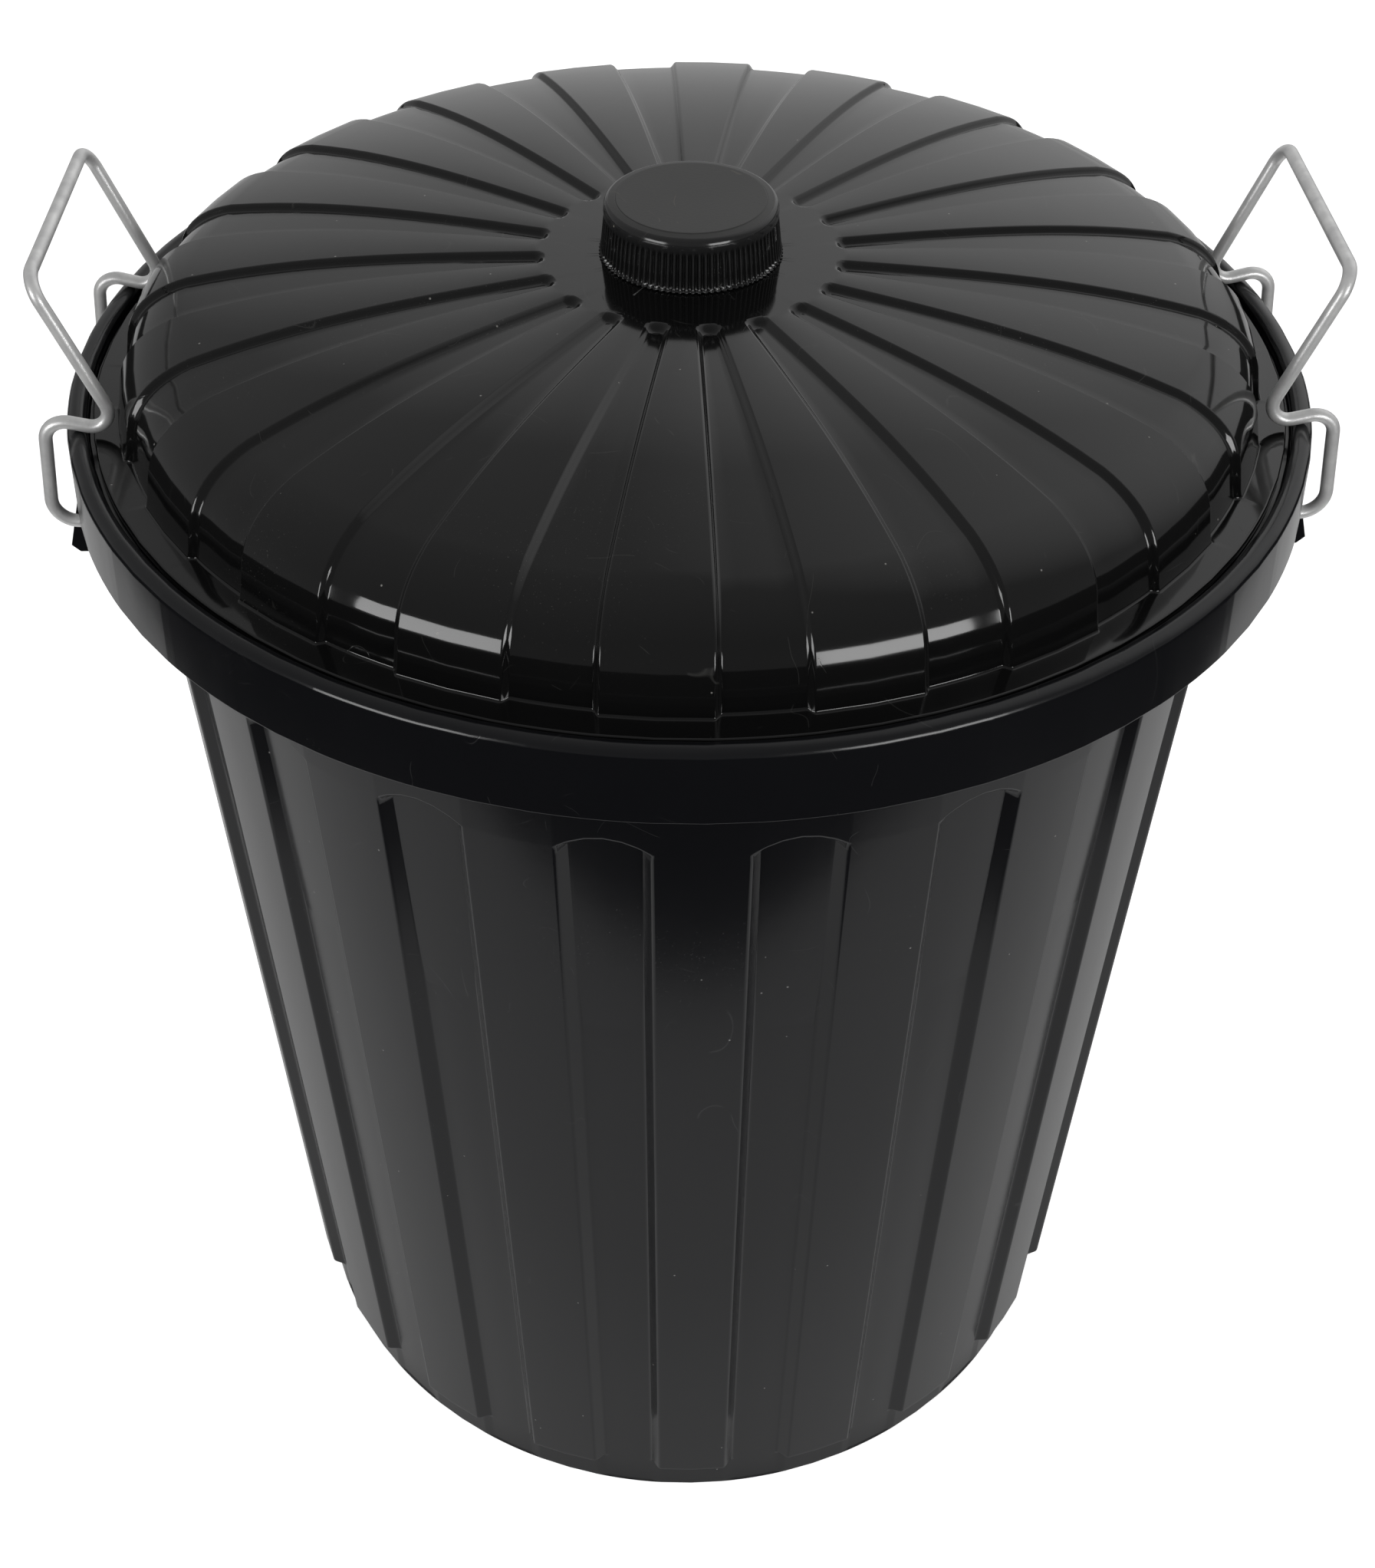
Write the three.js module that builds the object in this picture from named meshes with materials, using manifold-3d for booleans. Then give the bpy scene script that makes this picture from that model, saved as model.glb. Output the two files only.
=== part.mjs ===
// Round moulded dustbin with a lift-off lid that two wire carrying handles clamp shut.
// Millimetres, +Z up. The origin is the centre of the foot ring, and the handles lie on the X axis.
import * as THREE from "three";
import { mergeVertices } from "three/addons/utils/BufferGeometryUtils.js";
import Module from "manifold-3d";

const wasm = await Module();
wasm.setup();

// ---- driving dimensions ----
const runningGap = 0.3; // between pieces that touch or turn in each other
const facets = 60; // sides of the large round surfaces

const tub = {
  footRadius: 190.2, // outside of the base band, and the floor of the flutes there
  footRingWidth: 16,
  footCorner: 4, // slope from the foot ring to the base band
  baseRise: 4, // how far the middle of the base stands off the ground
  baseBand: 21, // height at which the lands between the flutes start
  wall: 3,
  flare: 0.0396, // growth of the radius for each millimetre of height
  mouthHeight: 499.8, // top of the ledge that the lid rests on
  rimReach: 21.36, // from the outside of the wall, at its top, to the outside of the ridge
  skirtSpread: 1.5, // the skirt's lower edge, beyond the ridge
  skirtWall: 3,
  skirtDrop: 22.6, // from the ledge top to the lower edge of the skirt
  ridgeWidth: 7.4, // rounded ridge round the edge of the lid
  ridgeRise: 5.8, // from the ledge top to the ridge's crown
};

const flute = {
  count: 20,
  depth: 4.8,
  angle: 9, // degrees between its two upper edges
  wallRun: 4.4, // how far each slanted side wall runs in
  top: 445.5, // height of the arch's crown
  archRise: 6.5, // the crown above the arch's ends
};

const lid = {
  wall: 2.5,
  flangeThick: 2.9,
  groove: 1.9, // open groove between the flange and the ridge
  domeInset: 11.4, // foot of the dome's wall, in from the ridge
  domeWallRise: 11, // up to the start of the shoulder
  domeDraft: 2.2, // how far the wall leans in over that rise
  shoulderInset: 28.4, // from the dome's foot to where the shoulder meets the cap
  shoulderRise: 36.6,
  cornerInset: 3, // corner that rounds the shoulder, in from the top of the wall
  cornerDrop: 6.6, // and below the rise of the shoulder
  hubRadius: 58, // flat middle
  hubRise: 45.7,
};

const channel = {
  count: 20,
  depth: 2.4,
  angle: 8.2, // degrees
  innerEnd: 55, // radius of the rounded inner ends
  turn: -4, // degrees of the first land from the front
};

const knob = {
  footRadius: 34.4,
  gripTopRadius: 33.7,
  gripRise: 16.2, // height of the ribbed grip band
  faceRadius: 31.3, // outer edge of the top face
  faceRise: 20,
  shoulderRise: 0.8, // upright step over the grip band, before the rounded shoulder
  discRadius: 27.4, // flat disc in the top face
  height: 20.9,
  wall: 2.8,
  bossRadius: 7.5,
  boreDepth: 14,
};

const screw = {
  shank: 5.6, // diameter
  headDiameter: 12,
  headHeight: 3.6,
  headCorner: 1.5,
  tipCorner: 1,
  slotWidth: 1.4,
  slotLength: 6.4,
  slotDepth: 1.6,
  intoKnob: 12,
  washerDiameter: 20,
  washerThick: 1.4,
};

const handle = {
  wire: 5, // diameter
  pivotInset: 7.2, // hinge line, in from the outside of the ridge
  pivotDrop: 33.8, // hinge line below the ledge top
  footReach: 6, // where the foot turns up into the leg, out from the ridge
  legY: 53.4,
  shoulderReach: 0.8, // where the leg turns in over the rim
  shoulderRise: 11.4, // and its height above the ledge top
  clampInset: 26.6, // inner bend that holds the lid's flange down
  clampY: 52.8,
  clampRise: 5,
  gripInset: 3.6,
  gripY: 52.2,
  gripRise: 65.6,
  gripBend: 9, // radii of the bends, on the wire's middle line
  clampBend: 6,
  shoulderBend: 8,
  footBend: 9,
  pinBend: 3,
  sides: 8,
  bendSteps: 4,
};

const lug = {
  thick: 6, // along the hinge line
  wireGap: 1, // from the leg of the handle
  footReach: 2.6, // lower outer corner, out from the ridge
  headInset: 4.7, // outer edge where it meets the skirt, in from the ridge
  eyeSides: 8, // in each quarter of the hole
  drop: 50.8, // lower edge below the ledge top
  pinThrough: 1.6, // how far the handle's pin stands out behind it
};

// ---- solids ----
const toSolid = (geometry) => {
  const bare = geometry.index ? geometry.toNonIndexed() : geometry.clone();
  bare.deleteAttribute("normal");
  bare.deleteAttribute("uv");
  const merged = mergeVertices(bare, 1e-4);
  return new wasm.Manifold(
    new wasm.Mesh({
      numProp: 3,
      vertProperties: new Float32Array(merged.attributes.position.array),
      triVerts: new Uint32Array(merged.index.array),
    }),
  );
};

const toGeometry = (solid) => {
  const mesh = solid.getMesh();
  const positions = new Float32Array(mesh.numVert * 3);
  for (let i = 0; i < mesh.numVert; i++) {
    positions.set(mesh.vertProperties.subarray(i * mesh.numProp, i * mesh.numProp + 3), i * 3);
  }
  const geometry = new THREE.BufferGeometry();
  geometry.setAttribute("position", new THREE.BufferAttribute(positions, 3));
  geometry.setIndex(new THREE.BufferAttribute(new Uint32Array(mesh.triVerts), 1));
  geometry.computeVertexNormals();
  return geometry;
};

const join = (solids) => solids.reduce((whole, next) => whole.add(next));
const radians = THREE.MathUtils.degToRad;
const at = (radius, height) => new THREE.Vector2(radius, height);

// A solid turned about +Z from [radius, height] points that run up from the axis and back to it.
const turned = (points, sides = facets) => {
  const geometry = new THREE.LatheGeometry(points, sides, radians(180 / sides));
  geometry.rotateX(Math.PI / 2);
  return toSolid(geometry);
};

const curvePoints = (from, corner, to, steps) =>
  new THREE.QuadraticBezierCurve(from, corner, to).getPoints(steps);

// ---- the tub ----
const landRadiusAt = (height) => tub.footRadius + flute.depth + tub.flare * (height - tub.baseBand);
const ledgeUnderside = tub.mouthHeight - tub.wall;
const skirtBottom = tub.mouthHeight - tub.skirtDrop;
const mouthRadius = landRadiusAt(ledgeUnderside) - tub.wall;
const rimRadius = landRadiusAt(ledgeUnderside) + tub.rimReach;
const skirtRadius = rimRadius + tub.skirtSpread;
const ridgeInner = rimRadius - tub.ridgeWidth;
const ridgeCrown = tub.mouthHeight + tub.ridgeRise;
const ridgeMiddle = (rimRadius + ridgeInner) / 2;

// A flute as a block that stands in the wall: its floor is an arch-topped outline, and its
// slanted walls widen outwards. grow thickens it all round, for the bulge on the tub's inside.
const fluteBlock = (index, grow) => {
  const halfAngle = Math.tan(radians(flute.angle / 2));
  const lean = Math.atan(tub.flare);
  const slope = flute.wallRun / flute.depth;
  const widen = grow * (Math.hypot(1, slope) - slope) - flute.wallRun;
  const low = landRadiusAt(tub.baseBand) * halfAngle + widen;
  const high = landRadiusAt(flute.top) * halfAngle + widen;
  const arch = (flute.top - tub.baseBand) / Math.cos(lean) + widen;
  const outline = new THREE.Shape();
  outline.moveTo(-low, grow / 2);
  outline.lineTo(low, grow / 2);
  outline.lineTo(high, arch - flute.archRise);
  outline.quadraticCurveTo(0, arch + flute.archRise, -high, arch - flute.archRise);
  outline.closePath();
  const geometry = new THREE.ExtrudeGeometry(outline, {
    depth: 2 * flute.depth,
    bevelThickness: flute.depth + grow,
    bevelSize: slope * (flute.depth + grow),
    bevelSegments: 1,
    curveSegments: 3,
  });
  geometry.rotateX(Math.PI / 2 + lean);
  geometry.translate(0, -landRadiusAt(tub.baseBand), tub.baseBand);
  geometry.rotateZ(radians((360 * (index + 0.5)) / flute.count));
  return toSolid(geometry);
};

// Hinge lug under the skirt, with the hole for the pin at the end of a handle's wire.
const pivotX = rimRadius - handle.pivotInset;
const pivotHeight = tub.mouthHeight - handle.pivotDrop;
const lugFaceY = handle.legY - handle.wire / 2 - lug.wireGap;
const hingeLug = (sideX, sideY) => {
  const lower = tub.mouthHeight - lug.drop;
  const insideWall = landRadiusAt(lower) - tub.wall - flute.depth / 2;
  const outer = rimRadius + lug.footReach;
  const head = rimRadius - lug.headInset;
  const outline = new THREE.Shape();
  outline.moveTo(Math.sqrt(insideWall ** 2 - lugFaceY ** 2), lower);
  outline.lineTo(outer - tub.wall, lower);
  outline.lineTo(outer, lower + tub.wall);
  outline.lineTo(head, skirtBottom);
  outline.lineTo(head - tub.skirtWall, ledgeUnderside + tub.wall / 2);
  outline.lineTo(Math.sqrt(mouthRadius ** 2 - lugFaceY ** 2) + tub.wall, ledgeUnderside + tub.wall / 2);
  outline.closePath();
  const eye = new THREE.Path();
  eye.absarc(pivotX, pivotHeight, handle.wire / 2 + runningGap, 0, 2 * Math.PI, true);
  outline.holes.push(eye);
  const geometry = new THREE.ExtrudeGeometry(outline, {
    depth: lug.thick,
    bevelEnabled: false,
    curveSegments: lug.eyeSides,
  });
  geometry.rotateX(Math.PI / 2);
  geometry.translate(0, lugFaceY, 0);
  const turn = new THREE.Matrix4().makeRotationZ(sideX > 0 ? 0 : Math.PI);
  geometry.applyMatrix4(turn);
  const plate = toSolid(geometry);
  return sideX * sideY > 0 ? plate : plate.mirror([0, 1, 0]);
};

const makeTub = () => {
  const ringOuter = tub.footRadius - tub.footCorner;
  const ringInner = ringOuter - tub.footRingWidth;
  const clearOfRim = tub.mouthHeight + 2 * tub.ridgeRise;
  const outside = turned([
    at(0, tub.baseRise),
    at(ringInner - tub.baseRise, tub.baseRise),
    at(ringInner, 0),
    at(ringOuter, 0),
    at(tub.footRadius, tub.footCorner),
    at(tub.footRadius, tub.baseBand),
    at(landRadiusAt(tub.baseBand), tub.baseBand),
    at(landRadiusAt(ledgeUnderside), ledgeUnderside),
    at(rimRadius - tub.skirtWall, ledgeUnderside),
    at(skirtRadius - tub.skirtWall, skirtBottom),
    at(skirtRadius, skirtBottom),
    ...curvePoints(
      at(rimRadius, tub.mouthHeight + tub.ridgeRise / 3),
      at(rimRadius, ridgeCrown),
      at(ridgeMiddle, ridgeCrown),
      3,
    ),
    at(ridgeInner, ridgeCrown - tub.ridgeRise / 3),
    at(ridgeInner, tub.mouthHeight),
    at(0, tub.mouthHeight),
  ]);
  const inner = (height) => landRadiusAt(height) - tub.wall;
  const inside = turned([
    at(0, tub.baseRise + tub.wall),
    at(ringInner - tub.wall, tub.baseRise + tub.wall),
    at(ringInner + tub.wall / 2, tub.wall),
    at(ringOuter - tub.wall, tub.wall),
    at(tub.footRadius - tub.wall, tub.wall + tub.footCorner),
    at(tub.footRadius - tub.wall, tub.baseBand + tub.wall),
    at(inner(tub.baseBand + tub.wall), tub.baseBand + tub.wall),
    at(mouthRadius, ledgeUnderside),
    at(mouthRadius, clearOfRim),
    at(0, clearOfRim),
  ]);
  const indexes = Array.from({ length: flute.count }, (_, i) => i);
  const flutes = join(indexes.map((i) => fluteBlock(i, 0)));
  const bulges = join(indexes.map((i) => fluteBlock(i, tub.wall)));
  const lugs = join([-1, 1].flatMap((x) => [-1, 1].map((y) => hingeLug(x, y))));
  const hollow = inside.subtract(bulges);
  return outside.subtract(flutes).add(lugs.subtract(inside)).subtract(hollow);
};

// ---- the lid ----
const domeRadius = ridgeInner - lid.domeInset;
const shoulderRadius = domeRadius - lid.shoulderInset;
const flangeBottom = tub.mouthHeight + runningGap;
const flangeTop = flangeBottom + lid.flangeThick;
const hubTop = flangeTop + lid.hubRise;
const hubUnderside = hubTop - lid.wall;
const screwSides = 24;

// The dome's outline, sunk by a distance into the plastic. The cap is an arc from the flat hub.
const domeOutline = (sunk, steps) => {
  const capDrop = lid.hubRise - lid.shoulderRise;
  const capReach = (shoulderRadius - lid.hubRadius) ** 3;
  const capAt = (radius) => hubTop - sunk - (capDrop * (radius - lid.hubRadius) ** 3) / capReach;
  const wallTop = at(domeRadius - lid.domeDraft - sunk, flangeTop + lid.domeWallRise);
  const capEdge = shoulderRadius - sunk / 2;
  const corner = at(wallTop.x - lid.cornerInset, flangeTop + lid.shoulderRise - lid.cornerDrop - sunk);
  const capRadii = Array.from(
    { length: steps - 1 },
    (_, i) => capEdge + ((lid.hubRadius - capEdge) * (i + 1)) / (steps - 1),
  );
  return [
    ...curvePoints(wallTop, corner, at(capEdge, capAt(capEdge)), steps),
    ...capRadii.map((radius) => at(radius, capAt(radius))),
    at(0, hubTop - sunk),
  ];
};

const domeSolid = (sunk, foot, steps) => turned([
  at(0, foot),
  at(domeRadius - sunk, foot),
  ...domeOutline(sunk, steps),
]);

// One channel as an upright wedge with a rounded inner end, reaching past the dome's wall.
const channelWedge = (index, grow) => {
  const half = radians(channel.angle / 2);
  const reach = domeRadius * 1.1;
  const end = channel.innerEnd * half + grow;
  const wide = reach * Math.tan(half) + grow;
  const outline = new THREE.Shape();
  outline.moveTo(reach, -wide);
  outline.lineTo(reach, wide);
  outline.lineTo(channel.innerEnd + end, end);
  outline.absarc(channel.innerEnd + end, 0, end, Math.PI / 2, (3 * Math.PI) / 2, false);
  outline.closePath();
  const geometry = new THREE.ExtrudeGeometry(outline, {
    depth: 2 * lid.hubRise,
    bevelEnabled: false,
    curveSegments: 4,
  });
  geometry.translate(0, 0, grow > 0 ? flangeBottom - lid.hubRise : flangeTop);
  geometry.rotateZ(radians(-90 + channel.turn + (360 * (index + 0.5)) / channel.count));
  return toSolid(geometry);
};

const boreRadius = screw.shank / 2 + runningGap;

const makeLid = () => {
  const indexes = Array.from({ length: channel.count }, (_, i) => i);
  const wedges = join(indexes.map((i) => channelWedge(i, 0)));
  const wideWedges = join(indexes.map((i) => channelWedge(i, lid.wall)));
  const flange = turned([
    at(0, flangeBottom),
    at(ridgeInner - lid.groove, flangeBottom),
    at(ridgeInner - lid.groove, flangeTop),
    at(0, flangeTop),
  ]);
  const dome = domeSolid(0, flangeBottom, 4).subtract(wedges).add(domeSolid(channel.depth, flangeBottom, 4));
  const low = flangeBottom - lid.hubRise;
  const hollow = domeSolid(lid.wall, low, 3)
    .subtract(wideWedges)
    .add(domeSolid(channel.depth + lid.wall, low, 3));
  const screwHole = toSolid(
    new THREE.CylinderGeometry(boreRadius, boreRadius, 2 * lid.hubRise, screwSides),
  ).rotate([90, 0, 0]).translate([0, 0, hubTop]);
  return flange.add(dome).subtract(hollow).subtract(screwHole);
};

// ---- the knob and its fixing ----
const knobFoot = hubTop + runningGap;
const knobSides = 36;

const makeKnob = () => {
  const outside = turned([
    at(0, knobFoot),
    at(knob.footRadius, knobFoot),
    at(knob.gripTopRadius, knobFoot + knob.gripRise),
    ...curvePoints(
      at(knob.gripTopRadius, knobFoot + knob.gripRise + knob.shoulderRise),
      at(knob.gripTopRadius, knobFoot + knob.faceRise),
      at(knob.faceRadius, knobFoot + knob.faceRise),
      3,
    ),
    at(knob.discRadius, knobFoot + knob.height),
    at(0, knobFoot + knob.height),
  ], knobSides);
  const hollow = turned([
    at(0, knobFoot - knob.wall),
    at(boreRadius, knobFoot - knob.wall),
    at(boreRadius, knobFoot + knob.boreDepth),
    at(0, knobFoot + knob.boreDepth),
  ], knobSides);
  const ring = turned([
    at(0, knobFoot - knob.wall),
    at(knob.footRadius - knob.wall, knobFoot - knob.wall),
    at(knob.footRadius - knob.wall, knobFoot),
    at(knob.gripTopRadius - knob.wall, knobFoot + knob.gripRise),
    at(knob.discRadius - knob.wall / 2, knobFoot + knob.height - knob.wall),
    at(0, knobFoot + knob.height - knob.wall),
  ], knobSides);
  const boss = turned([
    at(0, knobFoot - 2 * knob.wall),
    at(knob.bossRadius, knobFoot - 2 * knob.wall),
    at(knob.bossRadius, knobFoot + knob.height),
    at(0, knobFoot + knob.height),
  ], knobSides);
  return outside.subtract(ring.subtract(boss)).subtract(hollow);
};

const washerTop = hubUnderside - runningGap;
const washerBottom = washerTop - screw.washerThick;
const headTop = washerBottom - runningGap;

const makeWasher = () => {
  const disc = turned([
    at(0, washerBottom),
    at(screw.washerDiameter / 2, washerBottom),
    at(screw.washerDiameter / 2, washerTop),
    at(0, washerTop),
  ], screwSides);
  const hole = turned([
    at(0, headTop),
    at(boreRadius, headTop),
    at(boreRadius, hubUnderside),
    at(0, hubUnderside),
  ], screwSides);
  return disc.subtract(hole);
};

const makeScrew = () => {
  const headBottom = headTop - screw.headHeight;
  const tip = knobFoot + screw.intoKnob;
  const body = turned([
    at(0, headBottom),
    at(screw.headDiameter / 2 - screw.headCorner, headBottom),
    at(screw.headDiameter / 2, headBottom + screw.headCorner),
    at(screw.headDiameter / 2, headTop),
    at(screw.shank / 2, headTop),
    at(screw.shank / 2, tip - screw.tipCorner),
    at(screw.shank / 2 - screw.tipCorner, tip),
    at(0, tip),
  ], screwSides);
  const slot = (turn) => toSolid(
    new THREE.BoxGeometry(screw.slotWidth, screw.slotLength, 2 * screw.slotDepth)
      .rotateZ(turn)
      .translate(0, 0, headBottom),
  );
  return body.subtract(slot(0)).subtract(slot(Math.PI / 2));
};

// ---- the wire handles ----
// A wire's middle line: straight runs between rounded corners, sampled only where it bends.
class BentWire extends THREE.Curve {
  constructor(start, corners, end) {
    super();
    this.stations = [{ point: start, along: corners[0].point.clone().sub(start).normalize() }];
    corners.forEach(({ point, bend }, i) => {
      const before = i ? corners[i - 1].point : start;
      const after = i < corners.length - 1 ? corners[i + 1].point : end;
      const into = point.clone().sub(before).normalize();
      const out = after.clone().sub(point).normalize();
      const turn = into.angleTo(out);
      const setback = bend * Math.tan(turn / 2);
      const arcStart = point.clone().addScaledVector(into, -setback);
      const axis = into.clone().cross(out).normalize();
      const centre = arcStart.clone().addScaledVector(axis.clone().cross(into), bend);
      for (let k = 0; k <= handle.bendSteps; k++) {
        const angle = (turn * k) / handle.bendSteps;
        const spoke = arcStart.clone().sub(centre).applyAxisAngle(axis, angle);
        this.stations.push({
          point: centre.clone().add(spoke),
          along: into.clone().applyAxisAngle(axis, angle),
        });
      }
    });
    const last = corners[corners.length - 1].point;
    this.stations.push({ point: end, along: end.clone().sub(last).normalize() });
  }
  get steps() {
    return this.stations.length - 1;
  }
  station(u) {
    return this.stations[Math.round(u * this.steps)];
  }
  getPoint(u) {
    return this.station(u).point.clone();
  }
  getPointAt(u) {
    return this.getPoint(u);
  }
  getTangentAt(u) {
    return this.station(u).along.clone();
  }
}

const makeHandle = (side) => {
  const corner = (out, y, rise, bend) => ({
    point: new THREE.Vector3(side * (rimRadius + out), y, tub.mouthHeight + rise),
    bend,
  });
  const halfPath = (y) => [
    corner(-handle.pivotInset, y * handle.legY, -handle.pivotDrop, handle.pinBend),
    corner(handle.footReach, y * handle.legY, -handle.pivotDrop, handle.footBend),
    corner(handle.shoulderReach, y * handle.legY, handle.shoulderRise, handle.shoulderBend),
    corner(-handle.clampInset, y * handle.clampY, handle.clampRise, handle.clampBend),
    corner(-handle.gripInset, y * handle.gripY, handle.gripRise, handle.gripBend),
  ];
  const pinEnd = (y) => new THREE.Vector3(
    side * pivotX,
    y * (lugFaceY - lug.thick - lug.pinThrough),
    pivotHeight,
  );
  const path = new BentWire(pinEnd(-1), [...halfPath(-1), ...halfPath(1).reverse()], pinEnd(1));
  const section = new THREE.Shape();
  for (let i = 0; i < handle.sides; i++) {
    const angle = (2 * Math.PI * (i + 0.5)) / handle.sides;
    const reach = handle.wire / 2;
    section[i ? "lineTo" : "moveTo"](reach * Math.cos(angle), reach * Math.sin(angle));
  }
  section.closePath();
  return toSolid(
    new THREE.ExtrudeGeometry(section, { steps: path.steps, extrudePath: path }),
  );
};

// ---- the assembly ----
const blackPlastic = { color: 0x1b1c1e, roughness: 0.28, metalness: 0 };
const zincSteel = { color: 0xa9abab, roughness: 0.42, metalness: 0.9 };

const bin = new THREE.Group();
const place = (name, solid, look) => {
  const mesh = new THREE.Mesh(toGeometry(solid), new THREE.MeshStandardMaterial(look));
  mesh.name = name;
  bin.add(mesh);
};

place("tub", makeTub(), blackPlastic);
place("lid", makeLid(), blackPlastic);
place("knob", makeKnob(), blackPlastic);
place("knob_washer", makeWasher(), zincSteel);
place("knob_screw", makeScrew(), zincSteel);
place("handle_left", makeHandle(-1), zincSteel);
place("handle_right", makeHandle(1), zincSteel);

export default bin;
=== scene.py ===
# Round plastic dustbin with a channelled lid and two wire handles that clamp it shut.
# Sizes are in millimetres until a piece is finished, and then in metres.
import math

import bmesh
import bpy
from mathutils import Matrix, Vector


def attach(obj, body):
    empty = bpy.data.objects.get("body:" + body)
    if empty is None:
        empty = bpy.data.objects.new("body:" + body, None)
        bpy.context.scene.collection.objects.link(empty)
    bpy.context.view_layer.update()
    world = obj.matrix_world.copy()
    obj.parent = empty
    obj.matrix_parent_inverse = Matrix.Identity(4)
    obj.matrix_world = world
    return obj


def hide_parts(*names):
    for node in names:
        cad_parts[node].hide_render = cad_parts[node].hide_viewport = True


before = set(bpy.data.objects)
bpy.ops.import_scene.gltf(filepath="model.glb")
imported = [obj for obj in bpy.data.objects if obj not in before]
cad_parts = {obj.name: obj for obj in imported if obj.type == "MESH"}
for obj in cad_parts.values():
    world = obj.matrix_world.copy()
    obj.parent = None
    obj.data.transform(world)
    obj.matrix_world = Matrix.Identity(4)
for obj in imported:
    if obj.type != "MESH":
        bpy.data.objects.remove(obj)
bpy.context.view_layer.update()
print("frame loaded")


# Making meshes.

def drawOutline(bm, corners):  # (radius, height, rounding) from the axis round to the axis
    points = [bm.verts.new((radius, 0, height)) for radius, height, _ in corners]
    for pair in zip(points, points[1:]):
        bm.edges.new(pair)
    for point, (_, _, rounding) in zip(points, corners):
        if rounding:
            bmesh.ops.bevel(bm, geom=[point], offset=rounding, offset_type="OFFSET",
                            segments=4, profile=0.5, affect="VERTICES", material=-1)


def arcPoints(start, corner, end, count):  # a smooth turn between two points of an outline
    made = []
    for i in range(count + 1):
        t = i / count
        a, b, c = (1 - t) ** 2, 2 * t * (1 - t), t * t
        made.append((a * start[0] + b * corner[0] + c * end[0],
                     a * start[1] + b * corner[1] + c * end[1], 0))
    return made


def spinRound(bm, steps):
    bmesh.ops.spin(bm, geom=bm.verts[:] + bm.edges[:], cent=(0, 0, 0), axis=(0, 0, 1),
                   dvec=(0, 0, 0), angle=2 * math.pi, steps=steps, use_merge=True,
                   use_normal_flip=False, use_duplicate=False)
    bmesh.ops.remove_doubles(bm, verts=bm.verts[:], dist=0.001)
    bmesh.ops.dissolve_degenerate(bm, edges=bm.edges[:], dist=0.0005)
    bmesh.ops.recalc_face_normals(bm, faces=bm.faces[:])


def softRamp(inward, run, soft):  # 0 to 1 over a slanted side, rounded at both its ends
    def knee(t):
        if t <= -soft:
            return 0
        if t >= soft:
            return t
        return (t + soft) ** 2 / (4 * soft)
    return (knee(inward) - knee(inward - run)) / run


halfColumns = 8  # columns from the middle of a channel or flute to the middle of a land
toMetres = 0.001
sharpTurn = 1.2  # radians, past which an edge of a lug or a wire's end is rounded


def columnPlace(column, edge, landMiddle, run, soft):  # distance of a column from the middle
    floorEdge = edge - run
    return [0, (floorEdge - soft) * 0.55, floorEdge - soft, floorEdge, floorEdge + soft,
            edge - soft, edge, edge + soft, landMiddle][column]


def carve(bm, count, firstAngle, shape):  # moves each column of a spun shape into a pattern
    pitch = 2 * math.pi / count
    for vert in bm.verts:
        radius = math.hypot(vert.co.x, vert.co.y)
        if radius < 1:
            continue
        step = round(math.atan2(vert.co.x, -vert.co.y) / pitch * 2 * halfColumns)
        cell = (step + halfColumns) // (2 * halfColumns)
        column = step - cell * 2 * halfColumns
        aside, newRadius, newHeight = shape(abs(column), radius, vert.co.z, pitch)
        angle = firstAngle + cell * pitch + math.copysign(aside, column) / radius
        vert.co = (newRadius * math.sin(angle), -newRadius * math.cos(angle), newHeight)


def finishPiece(name, bm, material, body, replaces=(), sharpAngle=50):
    bmesh.ops.scale(bm, vec=(toMetres, toMetres, toMetres), verts=bm.verts[:])
    mesh = bpy.data.meshes.new(name)
    bm.to_mesh(mesh)
    bm.free()
    mesh.shade_smooth()
    mesh.set_sharp_from_angle(angle=math.radians(sharpAngle))
    mesh.materials.append(material)
    piece = bpy.data.objects.new(name, mesh)
    bpy.context.scene.collection.objects.link(piece)
    weighted = piece.modifiers.new("evenShading", "WEIGHTED_NORMAL")
    weighted.keep_sharp = True
    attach(piece, body)
    if replaces:
        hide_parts(*replaces)
    print(name, len(mesh.polygons), "faces")
    return piece


# Making materials.

def addNode(tree, kind, values=None, **settings):
    made = tree.nodes.new(kind)
    for key, value in settings.items():
        setattr(made, key, value)
    for socket, value in (values or {}).items():
        if isinstance(value, bpy.types.NodeSocket):
            tree.links.new(value, made.inputs[socket])
        else:
            made.inputs[socket].default_value = value
    return made


def mathNode(tree, operation, first, second):
    return addNode(tree, "ShaderNodeMath", {0: first, 1: second}, operation=operation).outputs[0]


def rangeNode(tree, value, low, high, toLow=0.0, toHigh=1.0):
    made = addNode(tree, "ShaderNodeMapRange",
                   {"Value": value, "From Min": low, "From Max": high,
                    "To Min": toLow, "To Max": toHigh})
    return made.outputs["Result"]


def mixColours(tree, share, first, second):
    made = addNode(tree, "ShaderNodeMix", data_type="RGBA")
    for socket, value in ((0, share), (6, first), (7, second)):
        if isinstance(value, bpy.types.NodeSocket):
            tree.links.new(value, made.inputs[socket])
        else:
            made.inputs[socket].default_value = value
    return made.outputs[2]


def noiseNode(tree, place, scale, detail=2.0, roughness=0.5):
    return addNode(tree, "ShaderNodeTexNoise",
                   {"Vector": place, "Scale": scale, "Detail": detail,
                    "Roughness": roughness}).outputs["Fac"]


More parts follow.
